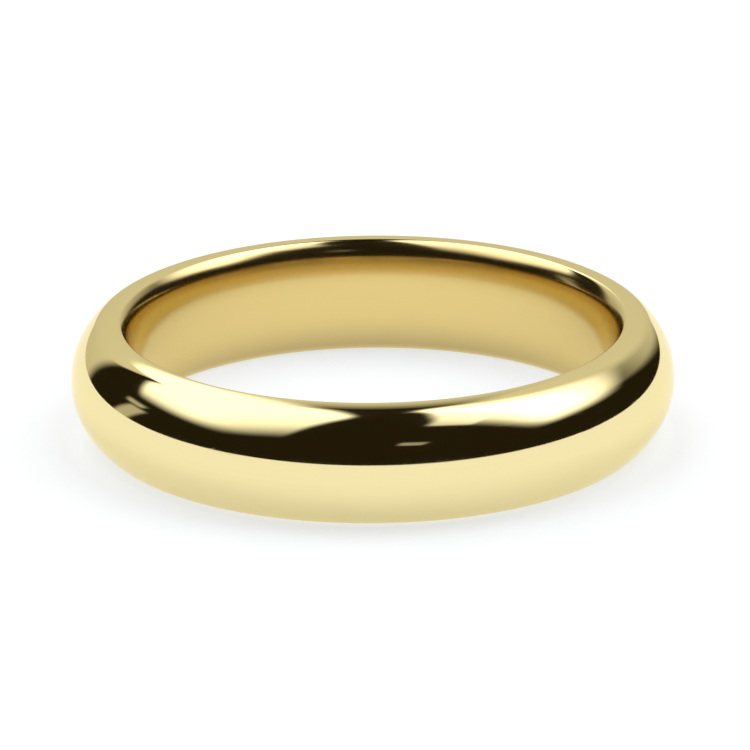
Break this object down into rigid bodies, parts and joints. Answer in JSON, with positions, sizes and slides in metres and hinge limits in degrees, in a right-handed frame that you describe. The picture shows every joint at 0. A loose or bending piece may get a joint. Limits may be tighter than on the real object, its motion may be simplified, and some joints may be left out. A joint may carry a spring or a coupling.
{
  "type": "wedding band",
  "caption": "Plain domed gold band for a finger, one seamless ring with narrow flat rims and a bore that swells softly towards both mouths.",
  "frame": {"origin": "middle of the circle that the band rests on when it lies flat, on the axis of the bore", "axes": "+Z along the axis of the bore, up and away from the surface that the band rests on; the band is the same all round, so +X and +Y are any two square directions"},
  "size_m": [0.0203, 0.0202, 0.004],
  "materials": {
    "gold": "mirror-polished yellow gold outside, softer polish in the bore"
  },
  "bodies": {
    "root": {"band": "gold"}
  },
  "joints": []
}
